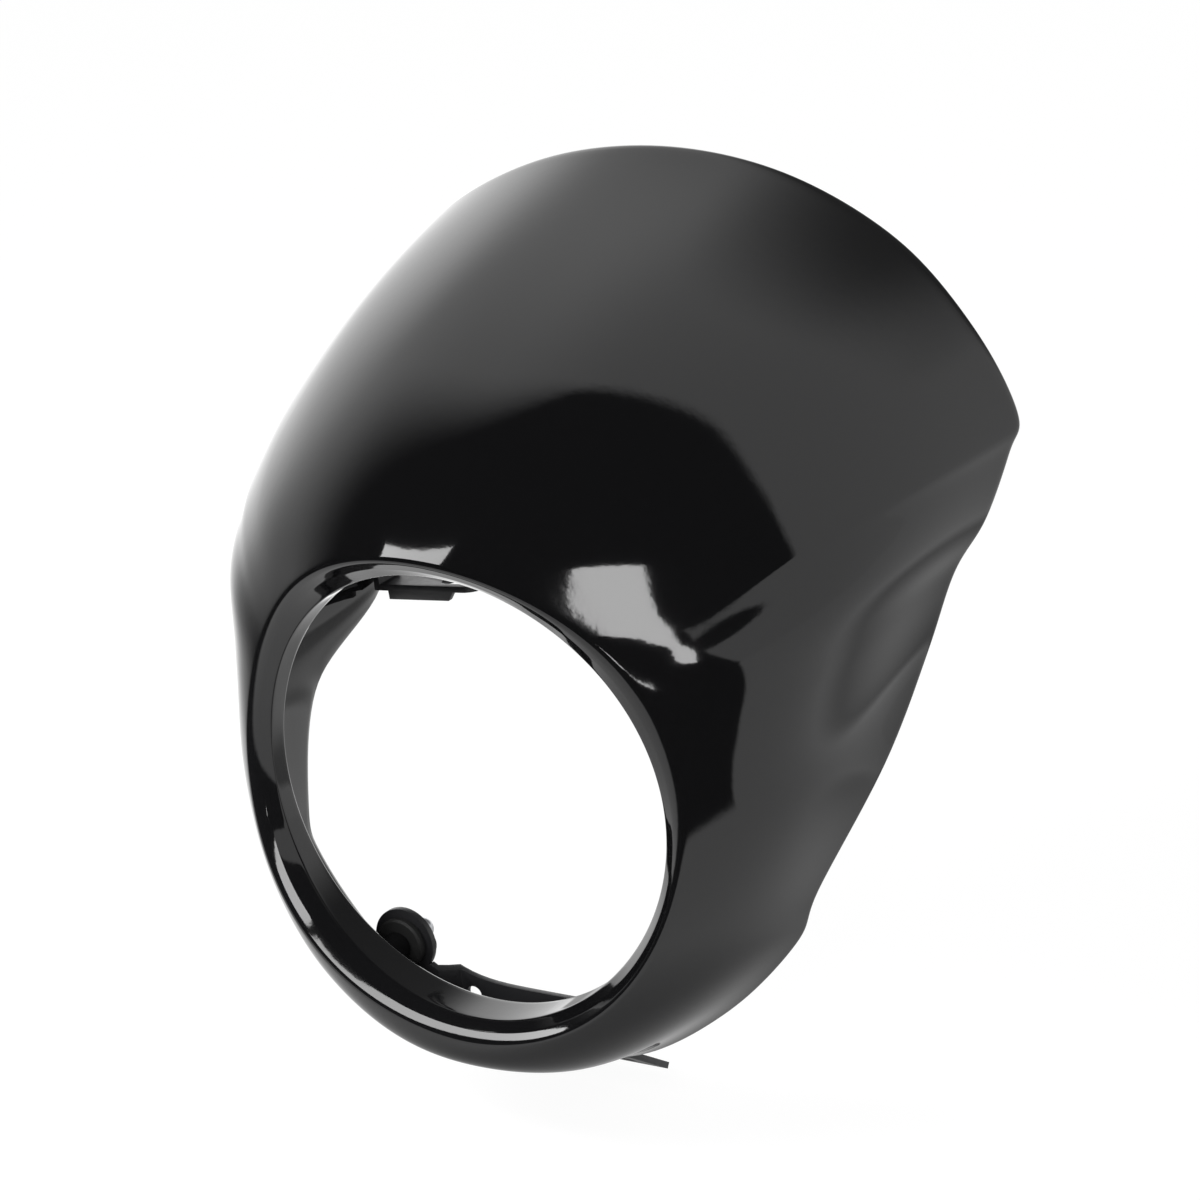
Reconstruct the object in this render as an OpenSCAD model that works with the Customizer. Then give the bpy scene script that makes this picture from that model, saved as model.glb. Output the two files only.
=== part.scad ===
// Headlight cowl: a gloss black moulded shell with a round lamp opening,
// a bent steel bracket low down inside it, and a steel tongue on each cheek.
// Millimetres. The front faces minus Y, up is plus Z, plus X is the viewer's right.
// The origin is the centre of the lamp opening.

/* [Shell] */
// Radius of the lamp opening
open_r = 85; // [80:0.5:90]
// Wall thickness of the moulding
wall = 3.2; // [2.6:0.1:4]
// How far the return flange runs back from the opening's middle
flange_back = 12.5; // [9:0.5:16]
// Width of the bevelled band from the opening out to its raised lip
lip_band = 8.5; // [7:0.5:11]
// Rounding of the raised lip
lip_round = 1.8; // [0.8:0.1:2.4]
// Hollow of the band between the lip and the opening
dish = 0.9; // [0.2:0.1:1.4]
// Height of the middle of the top edge
top_z = 195.5; // [180:0.5:210]
// Depth of the middle of the top edge
top_y = 172.5; // [155:0.5:185]
// Half width over the two wing tips
tip_x = 146.5; // [135:0.5:158]
// Depth of the wing tips
tip_y = 166.5; // [150:0.5:178]
// Height of the wing tips
tip_z = 105; // [92:0.5:118]
// How far the cheeks stand outside the radius of the opening
cheek_over = 42.5; // [36:0.5:50]
// Depth of the bottom edge
foot_y = 39.5; // [34:0.5:46]
// How far the bottom edge stands below the radius of the opening
foot_drop = 32; // [26:0.5:38]

/* [Lower bracket] */
// Plate thickness of the steel parts
plate = 2.5; // [2:0.1:3.5]
// How far the round ends keep in from the line of the bottom edge
ear_gap = 5.1; // [4:0.1:7]
// Angle of the studs below level, seen from the front
ear_turn = 54.5; // [50:0.5:60]
// Radius of a round end
ear_r = 13; // [11.5:0.5:15]
// Gap from the bottom edge of the shell back to the strap
strap_gap = 2.5; // [2.3:0.1:4]
// Step back of the middle of the strap
joggle = 8; // [5:0.5:10]
// How far the upper edge of the strap dips below the studs
strap_sag = 15.7; // [12:0.1:18]
// Depth of the strap at its middle
strap_w = 17.1; // [15:0.1:20]
// Bore of the two small strap holes
strap_hole_d = 6.6; // [5.5:0.1:8]
// Half distance between the strap holes
strap_hole_x = 33.5; // [28:0.5:34]
// Half width of the raked tab
tab_half = 31; // [27:0.5:34]
// Rake of the tab below level
tab_rake = 33; // [28:1:38]
// Inside radius of the bend above the tab
bend_r = 2; // [1:0.5:3]
// Length of the tab
tab_len = 32.6; // [28:0.1:40]
// Bore of the two tab holes
tab_hole_d = 8.5; // [6.5:0.1:10]
// Half distance between the tab holes
tab_hole_x = 19; // [15:0.5:22]

/* [Upper tongues] */
// Depth of the middle of a tongue
tongue_y = 125.5; // [122:0.5:128]
// Height of a tongue at the cheek
tongue_z = 24.5; // [22:0.5:27]
// Gap from the outside of the cheek to the foot of a tongue
tongue_gap = 7; // [6:0.5:9]
// Height of the foot of a tongue
foot_h = 17; // [15:0.5:20]
// Reach of a tongue in from the cheek
tongue_reach = 47; // [40:0.5:52]
// Width of a tongue
tongue_w = 15; // [13:0.5:18]
// Rise of a tongue towards its free end
tongue_rise = 4; // [0:0.5:8]
// Width of the slot in a tongue
slot_d = 8.5; // [6.5:0.1:10]
// How much longer the slot is than it is wide
slot_more = 9; // [5:0.5:12]

/* [Fixings] */
// Thread size of the studs
stud_d = 6; // [5:0.5:8]
// Outside radius of the moulded boss round a stud
boss_r = 5.6; // [5:0.1:6.4]
// Radius of the rubber washers
rubber_r = 10; // [8:0.1:11]
// Thickness of the rubber washers
rubber_t = 3.5; // [2.5:0.1:4.5]
// Thickness of the steel washers
washer_t = 1.6; // [1:0.1:2]
// Clearance of a hole round its stud or screw
clearance = 0.25; // [0.15:0.05:0.4]
// Thread size of the tongue screws
screw_d = 5; // [4:0.5:6]
// Outside radius of the brass inserts
insert_r = 4; // [3.6:0.1:4.6]
// Length of the brass inserts
insert_len = 4; // [3:0.5:5]

/* [Hidden] */
gloss = [0.03, 0.03, 0.035];
satin = [0.12, 0.12, 0.13];
steel = [0.62, 0.63, 0.65];
rubber = [0.08, 0.08, 0.08];
brass = [0.72, 0.58, 0.3];
steps = 4;
rows = 18;
fine = 96;
lip_r = open_r + lip_band;
cheek_x = open_r + cheek_over;
foot_z = open_r + foot_drop;
ear_out = foot_drop - ear_gap - ear_r;
ear_x = (open_r + ear_out) * cos(ear_turn);
ear_z = (open_r + ear_out) * sin(ear_turn);
strap_up = ear_z + strap_sag;
strap_low = strap_up + strap_w;
strap_y = foot_y + strap_gap;
ear_y = strap_y - joggle;
root_y = max(ear_out - 18.9, -6);
stud_in = 6;
nut_y = ear_y + plate + washer_t;
cheek_out = cheek_x - 4;
foot_x = cheek_out - tongue_gap;
screw_z = tongue_z + foot_h / 2 + 1;

// A point at an angle below level, so far outside the radius of the opening
function around(a, over, y) = [(open_r + over) * cos(a), y, -(open_r + over) * sin(a)];

// Stations down one half of the shell, from the top middle to the bottom middle.
// Each one: angle on the lip, then the point on the trailing edge, then how the wall leaves
// the lip (angle back, pull) and how it comes to the edge (angle back, pull, heading).
stations = [
    [90, [0, top_y, top_z], 41, 0.38, 66, 0.29, 90],
    [72, [0.36 * tip_x, top_y - 0.8, top_z - 7.2], 38.5, 0.38, 72, 0.29, 77],
    [56, [0.68 * tip_x, top_y - 2.8, top_z - 29], 36, 0.38, 77, 0.30, 64],
    [45, [0.89 * tip_x, tip_y + 1.2, tip_z + 30.2], 32.5, 0.41, 77, 0.30, 50.5],
    [38, [tip_x, tip_y, tip_z], 31, 0.44, 79, 0.31, 38],
    [34, [tip_x + 0.3, tip_y - 8.5, tip_z - 12], 30, 0.46, 79, 0.31, 26.5],
    [27, [tip_x - 3.2, tip_y - 23.5, tip_z - 33.5], 28, 0.49, 80.5, 0.31, 16.5],
    [18, [cheek_x + 5, 137.1, 52.5], 32.5, 0.48, 81, 0.31, 7],
    [10, [cheek_x - 4, 129.8, 23.9], 35, 0.47, 80.5, 0.31, -2],
    [-1, [cheek_x, 85.8, -3.1], 37, 0.45, 79, 0.30, -12],
    [-18, around(19.75, cheek_over - 5.7, 54.6), 39.5, 0.43, 76, 0.30, -23],
    [-33, around(29.7, cheek_over - 4.4, 49.8), 35.5, 0.41, 72, 0.31, -37],
    [-50, around(48.9, foot_drop + 3.1, foot_y + 5.2), 21, 0.42, 67, 0.34, -53],
    [-70, around(69.9, foot_drop + 3.3, foot_y), 5.5, 0.43, 60.5, 0.38, -71],
    [-90, [0, foot_y, -foot_z], -6.5, 0.43, 53, 0.41, -90]
];
last = len(stations) - 1;
half_cols = last * steps;
cols = 2 * half_cols;

function unit(a) = a / norm(a);
// A smooth curve through four values, from the second to the third
function spline(a, b, c, d, t) = 0.5 * (2 * b + (c - a) * t
    + (2 * a - 5 * b + 4 * c - d) * t * t + (3 * b - a - 3 * c + d) * t * t * t);
// The same station seen across the middle plane
function mirrored(s) = [s[0] > 0 ? 180 - s[0] : -180 - s[0], [-s[1][0], s[1][1], s[1][2]],
    s[2], s[3], s[4], s[5], s[6]];
function station(k) = k < 0 ? mirrored(stations[-k])
    : k > last ? mirrored(stations[2 * last - k]) : stations[k];
function blend(k, t) = let (a = station(k - 1), b = station(k), c = station(k + 1), d = station(k + 2))
    [for (f = [0:6]) spline(a[f], b[f], c[f], d[f], t)];
half = [for (i = [0:half_cols]) i == half_cols ? stations[last] : blend(floor(i / steps), (i % steps) / steps)];

// The lip stands further forward at the top than at the sides
function lip_y(a) = -6.9 + 7.4 * cos(2 * a) + 3.7 * sin(3 * a);
function open_y(a) = 4.2 * cos(2 * a);
function lip(a) = [lip_r * cos(a), lip_y(a), lip_r * sin(a) + 1.2];
function mouth(a) = [open_r * cos(a), open_y(a), open_r * sin(a)];
function leaving(s) = [cos(s[2]) * cos(s[0]), sin(s[2]), cos(s[2]) * sin(s[0])];
function arriving(s) = [cos(s[4]) * cos(s[6]), sin(s[4]), cos(s[4]) * sin(s[6])];
function skin(s, t) = let (a = lip(s[0]), d = s[1], l = norm(d - a), u = 1 - t,
        b = a + leaving(s) * s[3] * l, c = d - arriving(s) * s[5] * l)
    u * u * u * a + 3 * u * u * t * b + 3 * u * t * t * c + t * t * t * d;
half_skin = [for (s = half) [for (j = [0:rows]) skin(s, j / rows)]];
flip = [[-1, 0, 0], [0, 1, 0], [0, 0, 1]];
skin_at = [for (i = [0:cols - 1]) i <= half_cols ? half_skin[i] : [for (p = half_skin[cols - i]) flip * p]];
ring_at = [for (i = [0:cols - 1]) i <= half_cols ? half[i][0] : 180 - half[cols - i][0]];

// The wall seen from inside, one wall thickness in along the normal
function across(i, j) = skin_at[(i + 1) % cols][j] - skin_at[(i + cols - 1) % cols][j];
function along(i, j) = skin_at[i][min(j + 1, rows)] - skin_at[i][max(j - 1, 0)];
function inner(i, j) = skin_at[i][j] + wall * unit(cross(along(i, j), across(i, j)));
function corner(p, d1, d2) = let (c = d1 * d2, h = sqrt((1 - c) / 2)) p + unit(d1 + d2) * wall / h;

// One closed section of the wall, walked from the trailing edge to the mouth and back inside
function section(i) = let (
        a = ring_at[i], c = lip(a), m = mouth(a), r = [cos(a), 0, sin(a)],
        out = unit(skin_at[i][1] - c), in = unit(m - c), back = [0, 1, 0],
        sink = unit(back - in * (back * in)) * dish,
        fl = corner(m, -in, back), cr = corner(c, out, in))
    concat(
        [for (j = [rows:-1:1]) skin_at[i][j]],
        [c + out * lip_round, c + unit(out + in) * lip_round * 0.35, c + in * lip_round],
        [c + (m - c) * 0.42 + sink, m + in * 1.6 / norm([in[0], in[2]]), r * (open_r - 1.6) + back * flange_back],
        [r * (open_r + wall) + back * flange_back, [fl[0], min(fl[1], flange_back - 2), fl[2]], cr],
        [for (j = [2:2:rows]) inner(i, j)]);
sections = [for (i = [0:cols - 1]) section(i)];
n = len(sections[0]);
wall_faces = [for (i = [0:cols - 1]) for (k = [0:n - 1])
    let (i2 = (i + 1) % cols, k2 = (k + 1) % n, a = i * n + k, b = i * n + k2, c = i2 * n + k2, d = i2 * n + k)
    for (f = [[a, c, b], [a, d, c]]) f];

// Turns a part drawn along plus Z so that it runs back along plus Y
module rearward(x, y, z) {
    translate([x, y, z])
    rotate([-90, 0, 0])
    children();
}

// Turns a part drawn along plus Z so that it runs in from a cheek towards the middle
module inward(s, x, z) {
    translate([s * x, tongue_y, z])
    rotate([0, -90 * s, 0])
    children();
}

// The moulding, with its lamp opening bored true and four bosses for the steel parts
module cowl_shell() {
    color(gloss)
    difference() {
        union() {
            polyhedron(points = [for (s = sections) for (p = s) p], faces = wall_faces, convexity = 8);
            for (s = [-1, 1]) {
                rearward(s * ear_x, root_y, -ear_z)
                cylinder(h = 6, r1 = boss_r - 3, r2 = boss_r, $fn = fine);
                rearward(s * ear_x, root_y + 6, -ear_z)
                cylinder(h = ear_y - rubber_t - root_y - 6, r = boss_r, $fn = fine);
                inward(s, cheek_out - 0.8, screw_z)
                cylinder(h = 2.2, r1 = insert_r - 1, r2 = insert_r + 2.5, $fn = fine);
                inward(s, cheek_out - 3, screw_z)
                cylinder(h = tongue_gap - 3, r = insert_r + 2.5, $fn = fine);
            }
        }
        rearward(0, -40, 0)
        cylinder(h = 80, r = open_r, $fn = 2 * fine);
        for (s = [-1, 1]) {
            rearward(s * ear_x, stud_in, -ear_z)
            cylinder(h = 40, r = stud_d / 2, $fn = fine);
            inward(s, foot_x + insert_len, screw_z)
            cylinder(h = 40, r = insert_r, $fn = fine);
        }
    }
}

// Outline of the strap and its round ends, seen from the front
module strap_outline() {
    reach = ear_x - ear_r + 2;
    rise = strap_sag * 0.52 / pow(reach, 4);
    hole_z = rise * pow(strap_hole_x, 4) - strap_up - strap_hole_d / 2 - 4.7;
    difference() {
        union() {
            for (s = [-1, 1])
                translate([s * ear_x, -ear_z])
                circle(r = ear_r, $fn = fine);
            polygon(concat(
                [for (i = [-12:12]) let (x = i * reach / 12) [x, rise * pow(x, 4) - strap_up]],
                [[ear_x - 4, -ear_z - ear_r + 0.7], [tab_half + 3, -strap_low],
                [-tab_half - 3, -strap_low], [4 - ear_x, -ear_z - ear_r + 0.7]]));
        }
        for (s = [-1, 1]) {
            translate([s * ear_x, -ear_z])
            circle(r = stud_d / 2 + clearance, $fn = fine);
            translate([s * strap_hole_x, hole_z])
            circle(r = strap_hole_d / 2, $fn = fine);
        }
    }
}

// Side view of the plate where it turns back and down into the raked tab
module tab_profile() {
    turn = 90 - tab_rake;
    far = [cos(tab_rake), -sin(tab_rake)] * tab_len;
    function arc(r) = [for (i = [0:8]) let (a = 180 + turn * i / 8) [cos(a), sin(a)] * r];
    polygon(concat(
        [[-bend_r - plate, 2]], arc(bend_r + plate), [arc(bend_r + plate)[8] + far],
        [arc(bend_r)[8] + far], [for (i = [8:-1:0]) arc(bend_r)[i]], [[-bend_r, 2]]));
}

// The strap is cut from its front outline and stepped back between its two bends,
// then its lower edge turns back into the raked tab
module lower_bracket() {
    end = ear_x + ear_r + 1;
    far = ear_x - ear_r - 1.4;
    near = far - 4.5;
    color(satin)
    union() {
        intersection() {
            rearward(0, ear_y - 1, 0)
            linear_extrude(height = joggle + plate + 2)
            mirror([0, 1, 0])
            strap_outline();
            translate([0, 0, -strap_low - 1])
            linear_extrude(height = strap_low)
            polygon([
                [-end, ear_y], [-far, ear_y], [-near, strap_y], [near, strap_y],
                [far, ear_y], [end, ear_y], [end, ear_y + plate],
                [far + 1.6, ear_y + plate], [near + 1.6, strap_y + plate], [-near - 1.6, strap_y + plate],
                [-far - 1.6, ear_y + plate], [-end, ear_y + plate]]);
        }
        difference() {
            translate([tab_half, strap_y + plate + bend_r, -strap_low])
            rotate([90, 0, -90])
            linear_extrude(height = 2 * tab_half)
            mirror([1, 0, 0])
            tab_profile();
            for (s = [-1, 1])
                translate([s * tab_hole_x, strap_y + plate + bend_r, -strap_low])
                rotate([-tab_rake, 0, 0])
                translate([0, tab_len - 12, -20])
                cylinder(h = 30, r = tab_hole_d / 2, $fn = fine);
        }
    }
}

module lower_stud(s) {
    color(steel)
    rearward(s * ear_x, stud_in, -ear_z)
    cylinder(h = nut_y + 8 - stud_in, r = stud_d / 2, $fn = fine);
}

module rubber_washer(s) {
    color(rubber)
    rearward(s * ear_x, ear_y - rubber_t, -ear_z)
    rotate_extrude($fn = fine)
    polygon([[stud_d / 2, 0], [rubber_r - 0.8, 0], [rubber_r, 0.8], [rubber_r, rubber_t - 0.8],
        [rubber_r - 0.8, rubber_t], [stud_d / 2, rubber_t]]);
}

module plain_washer(s) {
    color(steel)
    rearward(s * ear_x, ear_y + plate, -ear_z)
    difference() {
        cylinder(h = washer_t, r = stud_d / 2 + 3.5, $fn = fine);
        translate([0, 0, -1])
        cylinder(h = 5, r = stud_d / 2 + clearance, $fn = fine);
    }
}

// A hexagon with a domed cap, bored blind for the stud
module cap_nut(s) {
    dome = stud_d / 2 + 1.6;
    color(steel)
    rearward(s * ear_x, nut_y, -ear_z)
    difference() {
        union() {
            cylinder(h = 5.5, r = stud_d / 2 + 2.6, $fn = 6);
            translate([0, 0, 5.5])
            cylinder(h = 2, r = dome, $fn = fine);
            translate([0, 0, 7.5])
            intersection() {
                sphere(r = dome, $fn = fine);
                cylinder(h = 10, r = 10, $fn = fine);
            }
        }
        translate([0, 0, -1])
        cylinder(h = 9, r = stud_d / 2, $fn = fine);
    }
}

// A foot screwed to the cheek boss, and a slotted tongue with a turned down front lip
module upper_tongue(s) {
    free = tongue_reach - tongue_w / 2;
    color(satin)
    mirror([s < 0 ? 1 : 0, 0, 0])
    union() {
        difference() {
            translate([foot_x - plate, tongue_y - tongue_w / 2, tongue_z])
            cube([plate, tongue_w, foot_h]);
            inward(1, foot_x + 5, screw_z)
            cylinder(h = 20, r = screw_d / 2 + clearance, $fn = fine);
        }
        translate([foot_x - plate, tongue_y, tongue_z])
        rotate([0, atan(tongue_rise / tongue_reach), 0])
        difference() {
            union() {
                translate([-free, -tongue_w / 2, 0])
                cube([free + plate * 0.9, tongue_w, plate]);
                translate([-free, 0, 0])
                cylinder(h = plate, r = tongue_w / 2, $fn = fine);
                translate([0, plate - tongue_w / 2, 0])
                rotate([90, 0, 0])
                linear_extrude(height = plate)
                polygon([[4 - free, 0.5], [7 - free, -3.5], [-4, -3.5], [-4, 0.5]]);
            }
            for (x = [0, slot_more])
                translate([x - free, 0, -5])
                cylinder(h = 20, r = slot_d / 2, $fn = fine);
            translate([-free, -slot_d / 2, -5])
            cube([slot_more, slot_d, 20]);
        }
    }
}

// A threaded brass insert set in the cheek boss
module insert(s) {
    color(brass)
    inward(s, foot_x + insert_len, screw_z)
    difference() {
        cylinder(h = insert_len, r = insert_r, $fn = fine);
        translate([0, 0, -1])
        cylinder(h = insert_len + 2, r = screw_d / 2, $fn = fine);
    }
}

module tongue_washer(s) {
    color(steel)
    inward(s, foot_x - plate, screw_z)
    difference() {
        cylinder(h = washer_t * 0.75, r = screw_d / 2 + 3, $fn = fine);
        translate([0, 0, -1])
        cylinder(h = 5, r = screw_d / 2 + clearance, $fn = fine);
    }
}

// A button head screw with a hexagon socket
module tongue_screw(s) {
    head = insert_len + plate + washer_t * 0.75;
    color(steel)
    inward(s, foot_x + insert_len, screw_z)
    difference() {
        union() {
            cylinder(h = head + 0.5, r = screw_d / 2, $fn = fine);
            translate([0, 0, head])
            rotate_extrude($fn = fine)
            polygon([[0, 0], [screw_d / 2 + 2.2, 0], [screw_d / 2 + 2, 0.9], [screw_d / 2 + 1.4, 1.7],
                [screw_d / 2 + 0.4, 2.4], [0, 2.7]]);
        }
        translate([0, 0, head + 1])
        cylinder(h = 5, r = screw_d * 0.35, $fn = 6);
    }
}

module lower_stud_left() lower_stud(-1);
module lower_stud_right() lower_stud(1);
module rubber_washer_left() rubber_washer(-1);
module rubber_washer_right() rubber_washer(1);
module plain_washer_left() plain_washer(-1);
module plain_washer_right() plain_washer(1);
module cap_nut_left() cap_nut(-1);
module cap_nut_right() cap_nut(1);
module upper_tongue_left() upper_tongue(-1);
module upper_tongue_right() upper_tongue(1);
module tongue_screw_left() tongue_screw(-1);
module tongue_screw_right() tongue_screw(1);
module tongue_washer_left() tongue_washer(-1);
module tongue_washer_right() tongue_washer(1);
module insert_left() insert(-1);
module insert_right() insert(1);

cowl_shell();
lower_bracket();
lower_stud_left();
lower_stud_right();
rubber_washer_left();
rubber_washer_right();
plain_washer_left();
plain_washer_right();
cap_nut_left();
cap_nut_right();
upper_tongue_left();
upper_tongue_right();
tongue_screw_left();
tongue_screw_right();
tongue_washer_left();
tongue_washer_right();
insert_left();
insert_right();
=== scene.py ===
import math

import bmesh
import bpy
import numpy as np
from mathutils import Matrix, Vector


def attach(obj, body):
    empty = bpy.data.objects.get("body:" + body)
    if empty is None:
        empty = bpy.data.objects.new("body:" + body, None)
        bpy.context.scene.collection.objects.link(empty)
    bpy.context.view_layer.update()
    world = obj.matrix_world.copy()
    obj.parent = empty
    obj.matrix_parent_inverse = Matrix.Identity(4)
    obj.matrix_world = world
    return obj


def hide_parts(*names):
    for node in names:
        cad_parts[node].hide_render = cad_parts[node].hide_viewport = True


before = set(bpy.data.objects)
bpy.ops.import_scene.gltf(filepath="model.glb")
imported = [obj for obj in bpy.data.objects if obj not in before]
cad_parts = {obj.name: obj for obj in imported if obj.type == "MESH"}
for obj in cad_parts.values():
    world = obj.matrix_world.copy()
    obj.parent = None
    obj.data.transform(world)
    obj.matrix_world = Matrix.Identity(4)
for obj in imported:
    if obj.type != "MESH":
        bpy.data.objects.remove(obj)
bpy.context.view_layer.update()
scene = bpy.context.scene
scene.view_settings.view_transform = "Standard"


# ---------------------------------------------------------------------------
# The studio: a white room behind the cowl and a dark room in front of it, with two
# windows, a small glint and a low bar of light. The camera stands where the photographer stood.
camera_data = bpy.data.cameras.new("camera")
camera_data.sensor_width = 36.0
camera_data.lens = 125.97
camera_data.clip_start = 0.05
camera_data.clip_end = 60.0
camera = bpy.data.objects.new("camera", camera_data)
scene.collection.objects.link(camera)
camera.matrix_world = Matrix((
    (0.83997, -0.10603, 0.53217, 0.83243),
    (0.53462, 0.32966, -0.77815, -1.11476),
    (-0.09293, 0.93813, 0.33359, 0.56070),
    (0.0, 0.0, 0.0, 1.0),
))
scene.camera = camera


def ramp(tree, value, low, high, start, stop, kind="SMOOTHSTEP"):
    """A level that goes from start to stop while the value goes from low to high."""
    node = tree.nodes.new("ShaderNodeMapRange")
    node.interpolation_type = kind
    for socket, number in (("From Min", low), ("From Max", high),
                           ("To Min", start), ("To Max", stop)):
        node.inputs[socket].default_value = number
    tree.links.new(value, node.inputs["Value"])
    return node


def joined(tree, operation, one, two):
    """Two levels multiplied, or one less the other but never below nothing."""
    node = tree.nodes.new("ShaderNodeMath")
    node.operation = operation
    node.use_clamp = operation == "SUBTRACT"
    tree.links.new(one, node.inputs[0])
    tree.links.new(two, node.inputs[1])
    return node.outputs["Value"]


def either(tree, share, one, two):
    """The second of two shaders by its share, and the first for the rest."""
    node = tree.nodes.new("ShaderNodeMixShader")
    tree.links.new(share, node.inputs["Fac"])
    tree.links.new(one, node.inputs[1])
    tree.links.new(two, node.inputs[2])
    return node.outputs["Shader"]


# What a ray that leaves the cowl meets, by its way: white walls behind and beside the cowl,
# brighter on the left and grey high up behind, a dark half in front whose left side fades,
# and a lit corner low down on the right. Each plane has its facing, and the range it turns in.
studio = bpy.data.node_groups.new("studio_light", "ShaderNodeTree")
studio.interface.new_socket(name="Way", in_out="INPUT", socket_type="NodeSocketVector")
studio.interface.new_socket(name="Strength", in_out="OUTPUT", socket_type="NodeSocketFloat")
way = studio.nodes.new("NodeGroupInput")
parts = studio.nodes.new("ShaderNodeSeparateXYZ")
studio.links.new(way.outputs["Way"], parts.inputs[0])
planes = {}
for label, facing, low, high, start, stop in (
    ("front", (-0.1736, -0.9848, 0.0), 0.0, 1.0, 0.0, 1.0),
    ("corner_top", (-0.5157, -0.0928, 0.8517), -0.012, 0.012, 1.0, 0.0),
    ("corner_foot", (0.4175, 0.6038, 0.6789), -0.012, 0.012, 0.0, 1.0),
    ("table_edge", (0.0, 0.0, 1.0), -0.27, -0.22, 0.0, 1.0),
    ("backdrop", (0.113, 0.801, 0.588), 0.78, 0.94, 1.25, 0.20),
    ("left_wall", (-0.6, 0.8, 0.0), 0.72, 0.93, 1.0, 1.65),
):
    dot = studio.nodes.new("ShaderNodeVectorMath")
    dot.operation = "DOT_PRODUCT"
    dot.inputs[1].default_value = facing
    studio.links.new(way.outputs["Way"], dot.inputs[0])
    planes[label] = ramp(studio, dot.outputs["Value"], low, high, start, stop)
for socket, far_left, ahead in (("From Min", -0.22, -0.03), ("From Max", 0.30, 0.02)):
    fade = ramp(studio, parts.outputs["X"], -1.0, -0.25, far_left, ahead, "LINEAR")
    studio.links.new(fade.outputs["Result"], planes["front"].inputs[socket])
level = {label: node.outputs["Result"] for label, node in planes.items()}
corner = joined(studio, "MULTIPLY", level["corner_top"], level["corner_foot"])
unlit = joined(studio, "SUBTRACT", level["front"], corner)
dark = joined(studio, "MULTIPLY", unlit, level["table_edge"])
strength = ramp(studio, dark, 0.0, 1.0, 1.0, 0.03, "LINEAR")
walls = joined(studio, "MULTIPLY", level["backdrop"], level["left_wall"])
studio.links.new(walls, strength.inputs["To Min"])
answer = studio.nodes.new("NodeGroupOutput")
studio.links.new(strength.outputs["Result"], answer.inputs["Strength"])

world = bpy.data.worlds.new("white_room")
scene.world = world
world.use_nodes = True
room = world.node_tree
room.nodes.clear()
sky_way = room.nodes.new("ShaderNodeTexCoord")
sky = room.nodes.new("ShaderNodeGroup")
sky.node_tree = studio
room.links.new(sky_way.outputs["Generated"], sky.inputs["Way"])
lit = room.nodes.new("ShaderNodeBackground")
room.links.new(sky.outputs["Strength"], lit.inputs["Strength"])
paper = room.nodes.new("ShaderNodeBackground")
paper.inputs["Color"].default_value = (1.0, 1.0, 1.0, 1.0)
room_ray = room.nodes.new("ShaderNodeLightPath")
room_out = room.nodes.new("ShaderNodeOutputWorld")
room.links.new(either(room, room_ray.outputs["Is Camera Ray"], lit.outputs["Background"],
                      paper.outputs["Background"]), room_out.inputs["Surface"])


def hang_lamp(name, wide, tall, watts, side, up, away, place):
    """A rectangular lamp whose back is turned to away. The camera doesn't see it."""
    data = bpy.data.lights.new(name, "AREA")
    data.shape = "RECTANGLE"
    data.size, data.size_y, data.energy = wide, tall, watts
    lamp = bpy.data.objects.new(name, data)
    scene.collection.objects.link(lamp)
    lamp.matrix_world = Matrix([(side[k], up[k], away[k], place[k]) for k in range(3)]
                               + [(0, 0, 0, 1)])
    lamp.visible_camera = False
    return lamp


# The windows: way to the middle, level side, width, height, watts
window_off, room_middle = 1.9, Vector((0.03, 0.0, 0.09))
for name, middle, across, wide, tall, watts in (
    ("window_left", (-0.497, -0.507, 0.662), (0.849, -0.406, 0.3375), 1.10, 0.48, 16.5),
    ("window_front", (0.522, -0.745, 0.4147), (0.819, 0.574, 0.0), 0.25, 0.95, 7.4),
    ("window_low", (0.446, -0.895, -0.005), (0.895, 0.446, 0.0), 0.07, 0.09, 0.2),
):
    off = Vector(middle).normalized()
    side = (Vector(across) - off * off.dot(Vector(across))).normalized()
    hang_lamp(name, wide, tall, watts, side, off.cross(side), off, room_middle + off * window_off)

# A short bar of light hangs close over the front of the lower lip and faces down, with a
# black card for its back
bar = hang_lamp("low_bar", 0.31, 0.045, 0.40, (0.982, -0.19, 0), (0.19, 0.982, 0), (0, 0, 1),
                (-0.155, -0.106, 0.06))
card_wide, card_deep, card_over = 0.33, 0.075, 0.0015
bpy.ops.object.select_all(action="DESELECT")
bpy.ops.mesh.primitive_plane_add(size=1.0, location=(0, 0, 0))
hood = bpy.context.object
hood.name = "bar_hood"
for v in hood.data.vertices:
    v.co = bar.matrix_world @ Vector((v.co.x * card_wide, v.co.y * card_deep, card_over))
hood.visible_camera = False
hood.visible_shadow = False
card = bpy.data.materials.new("black_card")
card.use_nodes = True
card_shader = card.node_tree.nodes["Principled BSDF"]
card_shader.inputs["Base Color"].default_value = (0.01, 0.01, 0.01, 1.0)
card_shader.inputs["Roughness"].default_value = 0.9
hood.data.materials.append(card)

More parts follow.
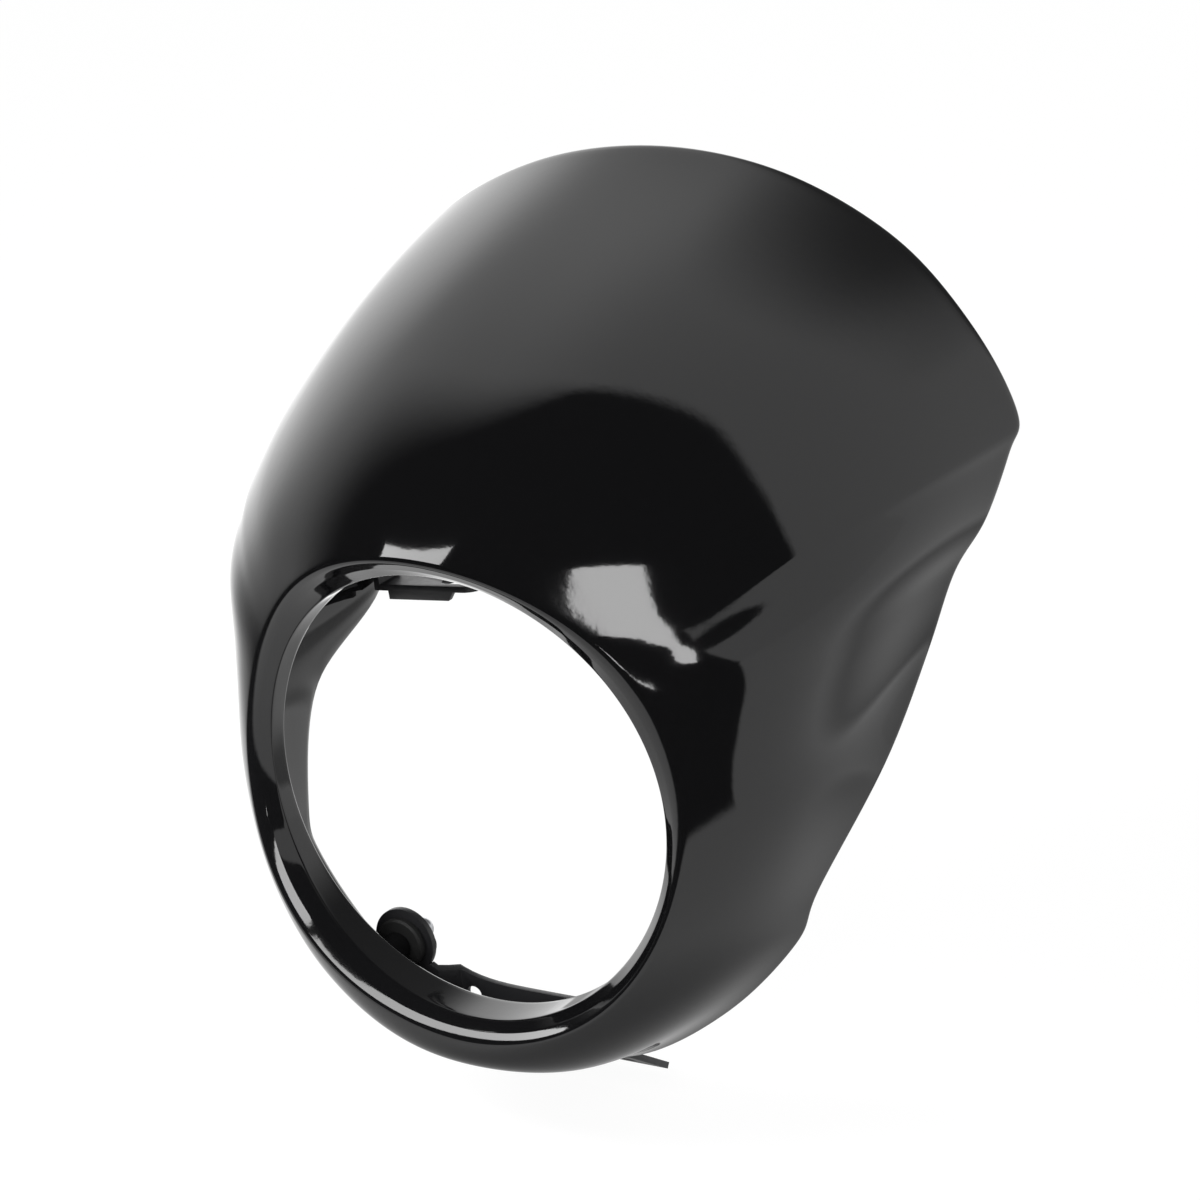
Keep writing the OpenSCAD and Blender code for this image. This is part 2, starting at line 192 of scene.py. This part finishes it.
# The floor: pale to the camera, with a soft shadow, and in the gloss of the cowl it glows as
# bright as the room that way, with painted shadow where the cowl stands over it and behind it
floor_z, floor_side, shadow_share = -0.1368, 9.0, 0.9
bpy.ops.object.select_all(action="DESELECT")
bpy.ops.mesh.primitive_plane_add(size=floor_side, location=(0.0, 0.0, floor_z))
floor = bpy.context.object
floor.name = "floor"
bpy.ops.object.transform_apply(location=True, rotation=True, scale=True)
paint = bpy.data.materials.new("pale_floor")
paint.use_nodes = True
pale = paint.node_tree
pale.nodes.clear()
matt = pale.nodes.new("ShaderNodeBsdfDiffuse")
matt.inputs["Color"].default_value = (0.86, 0.86, 0.86, 1.0)
glow = pale.nodes.new("ShaderNodeEmission")
glow.inputs["Strength"].default_value = 1.06
spot = pale.nodes.new("ShaderNodeNewGeometry")
from_cowl = pale.nodes.new("ShaderNodeVectorMath")
from_cowl.operation = "SUBTRACT"
from_cowl.inputs[1].default_value = (0.03, 0.05, 0.01)
pale.links.new(spot.outputs["Position"], from_cowl.inputs[0])
spot_way = pale.nodes.new("ShaderNodeVectorMath")
spot_way.operation = "NORMALIZE"
pale.links.new(from_cowl.outputs["Vector"], spot_way.inputs[0])
below = pale.nodes.new("ShaderNodeGroup")
below.node_tree = studio
pale.links.new(spot_way.outputs["Vector"], below.inputs["Way"])
shaded = below.outputs["Strength"]
# Painted shadow: three soft dark patches in the floor's glow, seen only in the gloss of the cowl:
# behind it on the right, under it, and behind it on the left
for middle, near, far, shade, clear in (
    ((0.17, 0.36, -0.137), 0.09, 0.24, 0.36, 0.85),
    ((0.03, 0.05, -0.137), 0.08, 0.18, 0.5, 1.0),
    ((-0.15, 0.27, -0.137), 0.07, 0.20, 0.35, 1.0),
):
    gap = pale.nodes.new("ShaderNodeVectorMath")
    gap.operation = "DISTANCE"
    gap.inputs[1].default_value = middle
    pale.links.new(spot.outputs["Position"], gap.inputs[0])
    painted_shadow_patch = ramp(pale, gap.outputs["Value"], near, far, shade, clear)
    shaded = joined(pale, "MULTIPLY", painted_shadow_patch.outputs["Result"], shaded)
mirrored = pale.nodes.new("ShaderNodeEmission")
pale.links.new(shaded, mirrored.inputs["Strength"])
ray = pale.nodes.new("ShaderNodeLightPath")
glow_share = pale.nodes.new("ShaderNodeMath")
glow_share.operation = "MULTIPLY"
glow_share.inputs[1].default_value = shadow_share
pale.links.new(ray.outputs["Is Camera Ray"], glow_share.inputs[0])
plain = either(pale, glow_share.outputs["Value"], matt.outputs["BSDF"], glow.outputs["Emission"])
glossed = either(pale, ray.outputs["Is Glossy Ray"], plain, mirrored.outputs["Emission"])
underneath = joined(pale, "MULTIPLY", spot.outputs["Backfacing"], ray.outputs["Is Camera Ray"])
nothing = pale.nodes.new("ShaderNodeBsdfTransparent")
pale_out = pale.nodes.new("ShaderNodeOutputMaterial")
pale.links.new(either(pale, underneath, glossed, nothing.outputs["BSDF"]),
               pale_out.inputs["Surface"])
floor.data.materials.append(paint)


# ---------------------------------------------------------------------------
# The moulding: one thin wall of gloss black plastic, drawn up from the ring round the lamp
# into the visor, the wing tips and the cheeks. It is lofted ring by ring, as the mould is cut.
open_r, lip_r, wall, flange_back = 0.085, 0.0935, 0.0032, 0.0125
edge_round, back_round, far_round, knee_round, brim_round = 0.0006, 0.0002, 0.0005, 0.0006, 0.0008

# Stations down one half: angle round the lip, point on the trailing edge (mm), how the wall
# leaves the lip (angle back, pull) and how it reaches the edge (angle back, pull, heading)
stations = [
    (90, 0.0, 172.5, 195.5, 41, 0.38, 66, 0.29, 90),
    (72, 52.74, 171.7, 188.3, 38.5, 0.38, 72, 0.29, 77),
    (56, 99.62, 169.7, 166.5, 36, 0.38, 77, 0.30, 64),
    (45, 130.39, 167.7, 135.2, 32.5, 0.41, 77, 0.30, 50.5),
    (38, 146.5, 166.5, 105.0, 31, 0.44, 79, 0.31, 38),
    (34, 146.8, 158.0, 93.0, 30, 0.46, 79, 0.31, 26.5),
    (27, 143.3, 143.0, 71.5, 28, 0.49, 80.5, 0.31, 16.5),
    (18, 132.5, 137.1, 52.5, 32.5, 0.48, 81, 0.31, 7),
    (10, 123.5, 129.8, 23.9, 35, 0.47, 80.5, 0.31, -2),
    (-1, 127.5, 85.8, -3.1, 37, 0.45, 79, 0.30, -12),
    (-18, 114.6, 54.6, -41.2, 39.5, 0.43, 76, 0.30, -23),
    (-33, 106.9, 49.8, -61.0, 35.5, 0.41, 72, 0.31, -37),
    (-50, 78.95, 44.7, -90.5, 21, 0.42, 67, 0.34, -53),
    (-70, 41.35, 39.5, -112.9, 5.5, 0.43, 60.5, 0.38, -71),
    (-90, 0.0, 39.5, -117.0, -6.5, 0.43, 53, 0.41, -90),
]
steps, rows = 6, 34
half = [np.array(s, float) for s in stations]
mirror = np.array([-1, -1, 1, 1, 1, 1, 1, 1, 1])
other = [s * mirror + np.array([180 if s[0] > 0 else -180] + [0] * 8) for s in half]
last = len(half) - 1
loop = [other[1]] + half + [other[last - 1]]
line = []
for k in range(last):
    a, b, c, d = loop[k:k + 4]
    for i in range(steps):
        t = i / steps
        line.append(0.5 * (2 * b + (c - a) * t + (2 * a - 5 * b + 4 * c - d) * t * t
                           + (3 * b - a - 3 * c + d) * t ** 3))
line.append(half[-1])
line = np.array(line)


def wall_skin(table, count):
    """The outer face of one half: a cubic from the lip to the trailing edge at every station."""
    turn, leave, arrive, head = (np.radians(table[:, k]) for k in (0, 4, 6, 8))
    lift = 0.0012 + 0.0011 * np.clip(-np.sin(turn), 0, 1) ** 3
    lip = np.stack([lip_r * np.cos(turn),
                    (-6.9 + 7.4 * np.cos(2 * turn) + 3.7 * np.sin(3 * turn)) / 1000,
                    lip_r * np.sin(turn) + lift], 1)
    edge = table[:, 1:4] / 1000
    span = np.linalg.norm(edge - lip, axis=1)[:, None]
    out = np.stack([np.cos(leave) * np.cos(turn), np.sin(leave),
                    np.cos(leave) * np.sin(turn)], 1)
    into = np.stack([np.cos(arrive) * np.cos(head), np.sin(arrive),
                     np.cos(arrive) * np.sin(head)], 1)
    p1 = (lip + out * table[:, 5:6] * span)[:, None]
    p2 = (edge - into * table[:, 7:8] * span)[:, None]
    t = np.linspace(0, 1, count)[None, :, None]
    u = 1 - t
    return u ** 3 * lip[:, None] + 3 * u * u * t * p1 + 3 * u * t * t * p2 + t ** 3 * edge[:, None]


def unit(v):
    return v / np.linalg.norm(v, axis=-1, keepdims=True)


def inner_corner(point, one, two):
    """Where the two walls that meet in a fold meet again, one wall thickness inside."""
    half_sine = np.sqrt((1 - (one * two).sum(-1, keepdims=True)) / 2)
    return point + unit(one + two) * wall / half_sine


def fold(point, one, two, reach, count):
    """A rounded fold: rings from one side of the point round to the other."""
    start, stop = point + one * reach, point + two * reach
    return [start * (1 - t) ** 2 + point * 2 * t * (1 - t) + stop * t * t
            for t in np.linspace(0, 1, count)]


right = wall_skin(line, rows + 1)
skin = np.concatenate([right, right[1:-1][::-1] * np.array([-1, 1, 1])])
turns = np.radians(np.concatenate([line[:, 0], 180 - line[1:-1, 0][::-1]]))
columns = len(skin)
normal = unit(np.cross(np.gradient(skin, axis=1), np.roll(skin, -1, 0) - np.roll(skin, 1, 0)))
if (normal[columns // 2, rows // 2, 2] > 0) == (skin[columns // 2, rows // 2, 2] < 0):
    normal = -normal
under = skin - normal * wall

# Across the band the wall comes over a crest, tight at the foot and softer at the top, lies
# nearly flat to a faint knee, and turns at the mouth into the flange
crest = skin[:, 0]
mouth = np.stack([open_r * np.cos(turns), 0.0042 * np.cos(2 * turns), open_r * np.sin(turns)], 1)
radial = np.stack([np.cos(turns), 0 * turns, np.sin(turns)], 1)
rearward = np.array([0.0, 1.0, 0.0])
all_rearward = np.broadcast_to(rearward, mouth.shape)
out_way = unit(skin[:, 1] - crest)
in_way = unit(mouth - crest)
band = np.linalg.norm(mouth - crest, axis=1)[:, None]
knee_across, knee_rise = 0.44, 0.036
knee = crest + (in_way * knee_across - unit(rearward - in_way * in_way[:, 1:2]) * knee_rise) * band
crest_round = 0.0026 - 0.0014 * np.clip(-np.sin(turns), 0, 1)[:, None]
flange_corner = inner_corner(mouth, -in_way, all_rearward)
flange_corner[:, 1] = np.minimum(flange_corner[:, 1], flange_back - 0.002)
lip_corner = inner_corner(crest, out_way, in_way)
edge_out, edge_in = skin[:, -1], under[:, -1]
back_edge = radial * open_r + rearward * flange_back
far_edge = radial * (open_r + wall) + rearward * flange_back

edge_share, bore_middle = 0.82, 0.0085
rings = [edge_out * edge_share + edge_in * (1 - edge_share)]
rings += [edge_out - unit(edge_out - skin[:, -2]) * edge_round]
rings += [skin[:, j] for j in range(rows - 1, 0, -1)]
rings += fold(crest, out_way, unit(knee - crest), crest_round, 8)
rings += fold(knee, unit(crest - knee), unit(mouth - knee), knee_round, 4)
rings += fold(mouth, unit(knee - mouth), all_rearward, brim_round, 5)
rings += [radial * open_r + rearward * bore_middle]
rings += [back_edge - rearward * back_round, back_edge + radial * back_round]
rings += [far_edge - radial * far_round, far_edge - rearward * far_round]
rings += [flange_corner, lip_corner]
rings += [under[:, j] for j in range(4, rows, 2)]
rings += [edge_in - unit(edge_in - under[:, -2]) * edge_round]
rings += [edge_out * (1 - edge_share) + edge_in * edge_share]

bpy.ops.object.select_all(action="DESELECT")
bpy.ops.mesh.primitive_circle_add(vertices=columns, radius=lip_r, location=(0, 0, 0))
shell = bpy.context.object
shell.name = "moulded_shell"
bpy.ops.object.mode_set(mode="EDIT")
bpy.ops.mesh.select_all(action="SELECT")
for count, ring in enumerate(rings):
    if count:
        bpy.ops.mesh.extrude_region_move()
    mesh = bmesh.from_edit_mesh(shell.data)
    order = mesh.verts.layers.int.get("column") or mesh.verts.layers.int.new("column")
    chosen = [v for v in mesh.verts if v.select]
    if not count:
        for i, v in enumerate(chosen):
            v[order] = i
    for v in chosen:
        v.co = ring[v[order]]
    bmesh.update_edit_mesh(shell.data)
mesh = bmesh.from_edit_mesh(shell.data)
for e in mesh.edges:
    e.select_set(e.is_boundary)
bmesh.update_edit_mesh(shell.data)
bpy.ops.mesh.bridge_edge_loops()
bpy.ops.mesh.select_all(action="SELECT")
bpy.ops.mesh.normals_make_consistent(inside=False)
bpy.ops.object.mode_set(mode="OBJECT")
smooth = shell.modifiers.new("smooth", "SUBSURF")
smooth.levels = smooth.render_levels = 1
bpy.ops.object.modifier_apply(modifier="smooth")
bpy.ops.object.shade_smooth()
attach(shell, "root")
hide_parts("cowl_shell")


def new_material(name, colour):
    """A new material of one colour, with its tree of nodes and its shader."""
    material = bpy.data.materials.new(name)
    material.use_nodes = True
    shader = material.node_tree.nodes["Principled BSDF"]
    shader.inputs["Base Color"].default_value = (*colour, 1.0)
    return material, material.node_tree, shader


def speckles(tree, scale, detail=2.0):
    """Noise that stays with the piece, for its roughness and its bumps."""
    place = tree.nodes.new("ShaderNodeTexCoord")
    noise = tree.nodes.new("ShaderNodeTexNoise")
    noise.inputs["Scale"].default_value = scale
    noise.inputs["Detail"].default_value = detail
    tree.links.new(place.outputs["Object"], noise.inputs["Vector"])
    return noise.outputs["Fac"]


def roughen(tree, shader, noise, smoothest, roughest):
    """Roughness that wanders between two levels."""
    spread = ramp(tree, noise, 0.0, 1.0, smoothest, roughest, "LINEAR")
    tree.links.new(spread.outputs["Result"], shader.inputs["Roughness"])


def emboss(tree, shader, noise, strength, depth):
    """Bumps of the given depth."""
    bump = tree.nodes.new("ShaderNodeBump")
    bump.inputs["Strength"].default_value = strength
    bump.inputs["Distance"].default_value = depth
    tree.links.new(noise, bump.inputs["Height"])
    tree.links.new(bump.outputs["Normal"], shader.inputs["Normal"])


# Polished black with a broad haze of fine scuffs and a faint orange peel
gloss, gloss_tree, gloss_shader = new_material("gloss_black_moulding", (0.006, 0.006, 0.0065))
gloss_shader.inputs["IOR"].default_value = 1.5
roughen(gloss_tree, gloss_shader, speckles(gloss_tree, 9.0, 6.0), 0.03, 0.075)
emboss(gloss_tree, gloss_shader, speckles(gloss_tree, 260.0), 0.012, 0.001)
shell.data.materials.append(gloss)


# ---------------------------------------------------------------------------
# The four bosses are part of the moulding: two stand back from the ring, low down,
# for the bracket, and one stands in from each cheek. Each is a lathe shape with a flared root.
stud_circle, stud_turn = 0.0989, math.radians(54.5)
stud_x, stud_z = stud_circle * math.cos(stud_turn), -stud_circle * math.sin(stud_turn)
tongue_y, tongue_z = 0.1255, 0.034
lower_profile = ((0.0028, -0.0048), (0.0063, 0.0005), (0.0058, 0.0040),
                 (0.0056, 0.0295), (0.0051, 0.0305), (0.0031, 0.0305))
cheek_profile = ((0.0030, -0.1227), (0.0068, -0.1206), (0.0066, -0.1190),
                 (0.0065, -0.1171), (0.0060, -0.1165), (0.0041, -0.1165))
for name, axis, centre, profile in (
    ("lower_boss_left", (0, 1, 0), (-stud_x, 0, stud_z), lower_profile),
    ("lower_boss_right", (0, 1, 0), (stud_x, 0, stud_z), lower_profile),
    ("cheek_boss_left", (1, 0, 0), (0, tongue_y, tongue_z), cheek_profile),
    ("cheek_boss_right", (-1, 0, 0), (0, tongue_y, tongue_z), cheek_profile),
):
    bpy.ops.object.select_all(action="DESELECT")
    bpy.ops.mesh.primitive_plane_add(size=0.01, location=(0, 0, 0))
    boss = bpy.context.object
    boss.name = name
    bpy.ops.object.mode_set(mode="EDIT")
    bpy.ops.mesh.select_all(action="SELECT")
    bpy.ops.mesh.merge(type="CENTER")
    for count, (r, along) in enumerate(profile):
        if count:
            bpy.ops.mesh.extrude_region_move()
        mesh = bmesh.from_edit_mesh(boss.data)
        for v in mesh.verts:
            if v.select:
                v.co = Vector(centre) + Vector(axis) * along + Vector((0, 0, r))
        bmesh.update_edit_mesh(boss.data)
    bpy.ops.mesh.select_all(action="SELECT")
    bpy.ops.mesh.spin(steps=48, angle=math.tau, center=centre, axis=axis)
    bpy.ops.mesh.select_all(action="SELECT")
    bpy.ops.mesh.remove_doubles(threshold=0.00005)
    bpy.ops.mesh.normals_make_consistent(inside=False)
    bpy.ops.object.mode_set(mode="OBJECT")
    bpy.ops.object.shade_smooth()
    boss.data.materials.append(gloss)
    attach(boss, "root")


# ---------------------------------------------------------------------------
# The strap and the two tongues: sheet steel, cut, bent and coated satin black. Each is its
# solid with the sharp edges of the sheet broken by a small round.
satin, satin_tree, satin_shader = new_material("satin_black_coating", (0.022, 0.022, 0.024))
satin_shader.inputs["IOR"].default_value = 1.5
grain = speckles(satin_tree, 420.0, 3.0)
roughen(satin_tree, satin_shader, grain, 0.32, 0.5)
emboss(satin_tree, satin_shader, grain, 0.18, 0.0004)

for node, name in (("lower_bracket", "bent_strap"),
                   ("upper_tongue_left", "slotted_tongue_left"),
                   ("upper_tongue_right", "slotted_tongue_right")):
    bpy.ops.object.select_all(action="DESELECT")
    sheet = bpy.data.objects.new(name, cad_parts[node].data.copy())
    scene.collection.objects.link(sheet)
    sheet.select_set(True)
    bpy.context.view_layer.objects.active = sheet
    bpy.ops.object.mode_set(mode="EDIT")
    bpy.ops.mesh.select_all(action="SELECT")
    bpy.ops.mesh.remove_doubles(threshold=0.00002)
    bpy.ops.mesh.dissolve_limited(angle_limit=math.radians(1.0))
    bpy.ops.object.mode_set(mode="OBJECT")
    broken = sheet.modifiers.new("broken_edges", "BEVEL")
    broken.width = 0.0004
    broken.segments = 2
    broken.limit_method = "ANGLE"
    broken.angle_limit = math.radians(35)
    bpy.ops.object.modifier_apply(modifier="broken_edges")
    bpy.ops.object.shade_smooth_by_angle(angle=math.radians(30))
    sheet.data.materials.clear()
    sheet.data.materials.append(satin)
    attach(sheet, "root")
    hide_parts(node)


# ---------------------------------------------------------------------------
# The fixings: zinc plated studs, cap nuts, washers and button head screws, dull rubber
# washers between the bosses and the strap, and brass inserts in the cheek bosses.
zinc, zinc_tree, zinc_shader = new_material("zinc_plate", (0.55, 0.56, 0.58))
zinc_shader.inputs["Metallic"].default_value = 1.0
roughen(zinc_tree, zinc_shader, speckles(zinc_tree, 350.0, 4.0), 0.22, 0.42)

rubber, rubber_tree, rubber_shader = new_material("black_rubber", (0.012, 0.012, 0.012))
bloom = speckles(rubber_tree, 300.0)
roughen(rubber_tree, rubber_shader, bloom, 0.55, 0.8)
emboss(rubber_tree, rubber_shader, bloom, 0.15, 0.0003)

brass, brass_tree, brass_shader = new_material("plain_brass", (0.6, 0.42, 0.16))
brass_shader.inputs["Metallic"].default_value = 1.0
roughen(brass_tree, brass_shader, speckles(brass_tree, 400.0), 0.25, 0.45)

for node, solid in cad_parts.items():
    if node in ("cowl_shell", "lower_bracket", "upper_tongue_left", "upper_tongue_right"):
        continue
    for place in solid.material_slots:
        place.material = {"rubber": rubber, "insert": brass}.get(node.split("_")[0], zinc)
